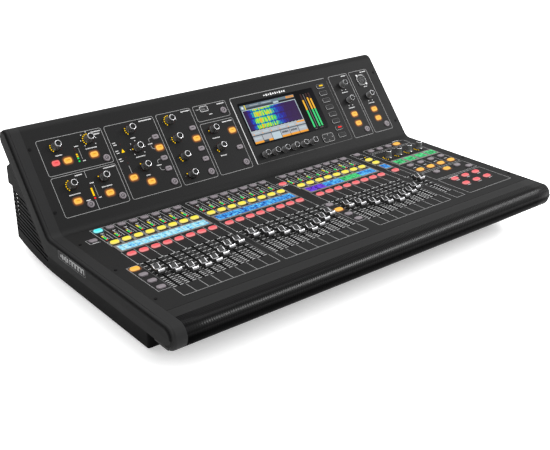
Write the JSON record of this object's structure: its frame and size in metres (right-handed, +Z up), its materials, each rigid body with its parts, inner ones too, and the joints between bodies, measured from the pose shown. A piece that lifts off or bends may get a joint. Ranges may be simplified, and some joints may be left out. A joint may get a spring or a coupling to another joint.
{
  "type": "mixing console",
  "caption": "Full-size digital mixing console: a flat deck of motor faders and lit keys, a sloping bridge with knobs and a screen, on a low steel tray.",
  "frame": {"origin": "on the table, at the middle of the footprint", "axes": "+X to the operator's right, +Y towards the rear, +Z up"},
  "size_m": [0.891, 0.612, 0.256],
  "materials": {
    "tray": "fine black powder coat",
    "panel": "satin charcoal paint on aluminium sheet",
    "cheek": "satin charcoal paint on cast aluminium",
    "armrest": "satin charcoal with a woven grain on the roll",
    "foot": "black rubber",
    "screw": "black zinc",
    "screen": "gloss black glass over a colour display",
    "strip_display": "back-lit strip displays",
    "socket": "black nylon",
    "port": "black nylon and nickel",
    "mechanism": "plated fader frame",
    "board": "green circuit board",
    "supply": "folded aluminium case",
    "select_key": "back-lit silicone",
    "solo_key": "back-lit silicone",
    "mute_key": "back-lit silicone",
    "deck_key": "back-lit silicone",
    "bridge_key": "back-lit silicone",
    "knob": "soft black rubber with a bright ring on top",
    "fader_cap": "black with plated rims",
    "rocker": "gloss black"
  },
  "bodies": {
    "console": {"base_tray": "tray", "rear_panel": "tray", "deck_panel": "panel", "bridge_panel": "panel", "left_cheek": "cheek", "right_cheek": "cheek", "armrest": "armrest", "rubber_feet": "foot", "panel_screws": "screw", "display_screen": "screen", "scribble_strips": "strip_display", "xlr_sockets": "socket", "jacks_and_ports": "port", "fader_mechanisms": "mechanism", "surface_boards": "board", "main_board": "board", "power_supply": "supply", "bus_and_monitor_knobs": "knob", "assign_encoders": "knob"},
    "select_buttons": {"select_buttons": "select_key"},
    "solo_buttons": {"solo_buttons": "solo_key"},
    "mute_buttons": {"mute_buttons": "mute_key"},
    "deck_buttons": {"deck_buttons": "deck_key"},
    "bridge_buttons": {"bridge_buttons": "bridge_key"},
    "display_encoders": {"display_encoders": "knob"},
    "gain_knob": {"gain_knob": "knob"},
    "low_cut_knob": {"low_cut_knob": "knob"},
    "gate_knob": {"gate_knob": "knob"},
    "dynamics_knob": {"dynamics_knob": "knob"},
    "eq_gain_knob": {"eq_gain_knob": "knob"},
    "eq_frequency_knob": {"eq_frequency_knob": "knob"},
    "eq_width_knob": {"eq_width_knob": "knob"},
    "main_pan_knob": {"main_pan_knob": "knob"},
    "main_level_knob": {"main_level_knob": "knob"},
    "power_switch": {"power_switch": "rocker"},
    "fader_cap_01": {"fader_cap_01": "fader_cap"},
    "fader_cap_02": {"fader_cap_02": "fader_cap"},
    "fader_cap_03": {"fader_cap_03": "fader_cap"},
    "fader_cap_04": {"fader_cap_04": "fader_cap"},
    "fader_cap_05": {"fader_cap_05": "fader_cap"},
    "fader_cap_06": {"fader_cap_06": "fader_cap"},
    "fader_cap_07": {"fader_cap_07": "fader_cap"},
    "fader_cap_08": {"fader_cap_08": "fader_cap"},
    "fader_cap_09": {"fader_cap_09": "fader_cap"},
    "fader_cap_10": {"fader_cap_10": "fader_cap"},
    "fader_cap_11": {"fader_cap_11": "fader_cap"},
    "fader_cap_12": {"fader_cap_12": "fader_cap"},
    "fader_cap_13": {"fader_cap_13": "fader_cap"},
    "fader_cap_14": {"fader_cap_14": "fader_cap"},
    "fader_cap_15": {"fader_cap_15": "fader_cap"},
    "fader_cap_16": {"fader_cap_16": "fader_cap"},
    "fader_cap_17": {"fader_cap_17": "fader_cap"},
    "fader_cap_18": {"fader_cap_18": "fader_cap"},
    "fader_cap_19": {"fader_cap_19": "fader_cap"},
    "fader_cap_20": {"fader_cap_20": "fader_cap"},
    "fader_cap_21": {"fader_cap_21": "fader_cap"},
    "fader_cap_22": {"fader_cap_22": "fader_cap"},
    "fader_cap_23": {"fader_cap_23": "fader_cap"},
    "fader_cap_24": {"fader_cap_24": "fader_cap"},
    "fader_cap_25": {"fader_cap_25": "fader_cap"}
  },
  "joints": [
    {"name": "select_buttons_press", "type": "slide", "parent": "console", "child": "select_buttons", "axis": [0, 0, -1], "range_m": [0, 0.0012], "stiffness_N_per_m": 2500, "springref_m": -0.0008},
    {"name": "solo_buttons_press", "type": "slide", "parent": "console", "child": "solo_buttons", "axis": [0, 0, -1], "range_m": [0, 0.0012], "stiffness_N_per_m": 2500, "springref_m": -0.0008},
    {"name": "mute_buttons_press", "type": "slide", "parent": "console", "child": "mute_buttons", "axis": [0, 0, -1], "range_m": [0, 0.0012], "stiffness_N_per_m": 2500, "springref_m": -0.0008},
    {"name": "deck_buttons_press", "type": "slide", "parent": "console", "child": "deck_buttons", "axis": [0, 0, -1], "range_m": [0, 0.0012], "stiffness_N_per_m": 2500, "springref_m": -0.0008},
    {"name": "bridge_buttons_press", "type": "slide", "parent": "console", "child": "bridge_buttons", "axis": [0, 0.7687, -0.6396], "range_m": [0, 0.0012], "stiffness_N_per_m": 2500, "springref_m": -0.0008},
    {"name": "display_encoders_press", "type": "slide", "parent": "console", "child": "display_encoders", "axis": [0, 0.7687, -0.6396], "range_m": [0, 0.0005], "stiffness_N_per_m": 2500, "springref_m": -0.0008},
    {"name": "gain_turn", "type": "hinge", "parent": "console", "child": "gain_knob", "pos_m": [-0.3652, 0.19072, 0.21896], "axis": [0, -0.7687, 0.6396], "continuous": true},
    {"name": "low_cut_turn", "type": "hinge", "parent": "console", "child": "low_cut_knob", "pos_m": [-0.3001, 0.19072, 0.21896], "axis": [0, -0.7687, 0.6396], "continuous": true},
    {"name": "gate_turn", "type": "hinge", "parent": "console", "child": "gate_knob", "pos_m": [-0.3648, 0.14108, 0.1593], "axis": [0, -0.7687, 0.6396], "continuous": true},
    {"name": "dynamics_turn", "type": "hinge", "parent": "console", "child": "dynamics_knob", "pos_m": [-0.3, 0.14108, 0.1593], "axis": [0, -0.7687, 0.6396], "continuous": true},
    {"name": "eq_gain_turn", "type": "hinge", "parent": "console", "child": "eq_gain_knob", "pos_m": [-0.2117, 0.19097, 0.21927], "axis": [0, -0.7687, 0.6396], "continuous": true},
    {"name": "eq_frequency_turn", "type": "hinge", "parent": "console", "child": "eq_frequency_knob", "pos_m": [-0.2117, 0.16603, 0.18929], "axis": [0, -0.7687, 0.6396], "continuous": true},
    {"name": "eq_width_turn", "type": "hinge", "parent": "console", "child": "eq_width_knob", "pos_m": [-0.2117, 0.14108, 0.1593], "axis": [0, -0.7687, 0.6396], "continuous": true},
    {"name": "main_pan_turn", "type": "hinge", "parent": "console", "child": "main_pan_knob", "pos_m": [-0.0374, 0.16603, 0.18929], "axis": [0, -0.7687, 0.6396], "continuous": true},
    {"name": "main_level_turn", "type": "hinge", "parent": "console", "child": "main_level_knob", "pos_m": [-0.0374, 0.14108, 0.1593], "axis": [0, -0.7687, 0.6396], "continuous": true},
    {"name": "power_switch_tip", "type": "hinge", "parent": "console", "child": "power_switch", "pos_m": [0.3722, 0.2986, 0.077], "axis": [1, 0, 0], "range_deg": [-14, 0]},
    {"name": "fader_01_slide", "type": "slide", "parent": "console", "child": "fader_cap_01", "axis": [0, 1, 0], "range_m": [-0.0591, 0.0409]},
    {"name": "fader_02_slide", "type": "slide", "parent": "console", "child": "fader_cap_02", "axis": [0, 1, 0], "range_m": [-0.0451, 0.0549]},
    {"name": "fader_03_slide", "type": "slide", "parent": "console", "child": "fader_cap_03", "axis": [0, 1, 0], "range_m": [-0.0316, 0.0684]},
    {"name": "fader_04_slide", "type": "slide", "parent": "console", "child": "fader_cap_04", "axis": [0, 1, 0], "range_m": [-0.0296, 0.0704]},
    {"name": "fader_05_slide", "type": "slide", "parent": "console", "child": "fader_cap_05", "axis": [0, 1, 0], "range_m": [-0.0321, 0.0679]},
    {"name": "fader_06_slide", "type": "slide", "parent": "console", "child": "fader_cap_06", "axis": [0, 1, 0], "range_m": [-0.0456, 0.0544]},
    {"name": "fader_07_slide", "type": "slide", "parent": "console", "child": "fader_cap_07", "axis": [0, 1, 0], "range_m": [-0.0606, 0.0394]},
    {"name": "fader_08_slide", "type": "slide", "parent": "console", "child": "fader_cap_08", "axis": [0, 1, 0], "range_m": [-0.0666, 0.0334]},
    {"name": "fader_09_slide", "type": "slide", "parent": "console", "child": "fader_cap_09", "axis": [0, 1, 0], "range_m": [-0.0726, 0.0274]},
    {"name": "fader_10_slide", "type": "slide", "parent": "console", "child": "fader_cap_10", "axis": [0, 1, 0], "range_m": [-0.0606, 0.0394]},
    {"name": "fader_11_slide", "type": "slide", "parent": "console", "child": "fader_cap_11", "axis": [0, 1, 0], "range_m": [-0.0466, 0.0534]},
    {"name": "fader_12_slide", "type": "slide", "parent": "console", "child": "fader_cap_12", "axis": [0, 1, 0], "range_m": [-0.0341, 0.0659]},
    {"name": "fader_13_slide", "type": "slide", "parent": "console", "child": "fader_cap_13", "axis": [0, 1, 0], "range_m": [-0.0266, 0.0734]},
    {"name": "fader_14_slide", "type": "slide", "parent": "console", "child": "fader_cap_14", "axis": [0, 1, 0], "range_m": [-0.0341, 0.0659]},
    {"name": "fader_15_slide", "type": "slide", "parent": "console", "child": "fader_cap_15", "axis": [0, 1, 0], "range_m": [-0.0471, 0.0529]},
    {"name": "fader_16_slide", "type": "slide", "parent": "console", "child": "fader_cap_16", "axis": [0, 1, 0], "range_m": [-0.0596, 0.0404]},
    {"name": "fader_17_slide", "type": "slide", "parent": "console", "child": "fader_cap_17", "axis": [0, 1, 0], "range_m": [-0.0641, 0.0359]},
    {"name": "fader_18_slide", "type": "slide", "parent": "console", "child": "fader_cap_18", "axis": [0, 1, 0], "range_m": [-0.0566, 0.0434]},
    {"name": "fader_19_slide", "type": "slide", "parent": "console", "child": "fader_cap_19", "axis": [0, 1, 0], "range_m": [-0.0431, 0.0569]},
    {"name": "fader_20_slide", "type": "slide", "parent": "console", "child": "fader_cap_20", "axis": [0, 1, 0], "range_m": [-0.0326, 0.0674]},
    {"name": "fader_21_slide", "type": "slide", "parent": "console", "child": "fader_cap_21", "axis": [0, 1, 0], "range_m": [-0.0251, 0.0749]},
    {"name": "fader_22_slide", "type": "slide", "parent": "console", "child": "fader_cap_22", "axis": [0, 1, 0], "range_m": [-0.0336, 0.0664]},
    {"name": "fader_23_slide", "type": "slide", "parent": "console", "child": "fader_cap_23", "axis": [0, 1, 0], "range_m": [-0.0396, 0.0604]},
    {"name": "fader_24_slide", "type": "slide", "parent": "console", "child": "fader_cap_24", "axis": [0, 1, 0], "range_m": [-0.0501, 0.0499]},
    {"name": "fader_25_slide", "type": "slide", "parent": "console", "child": "fader_cap_25", "axis": [0, 1, 0], "range_m": [-0.0776, 0.0224]}
  ]
}
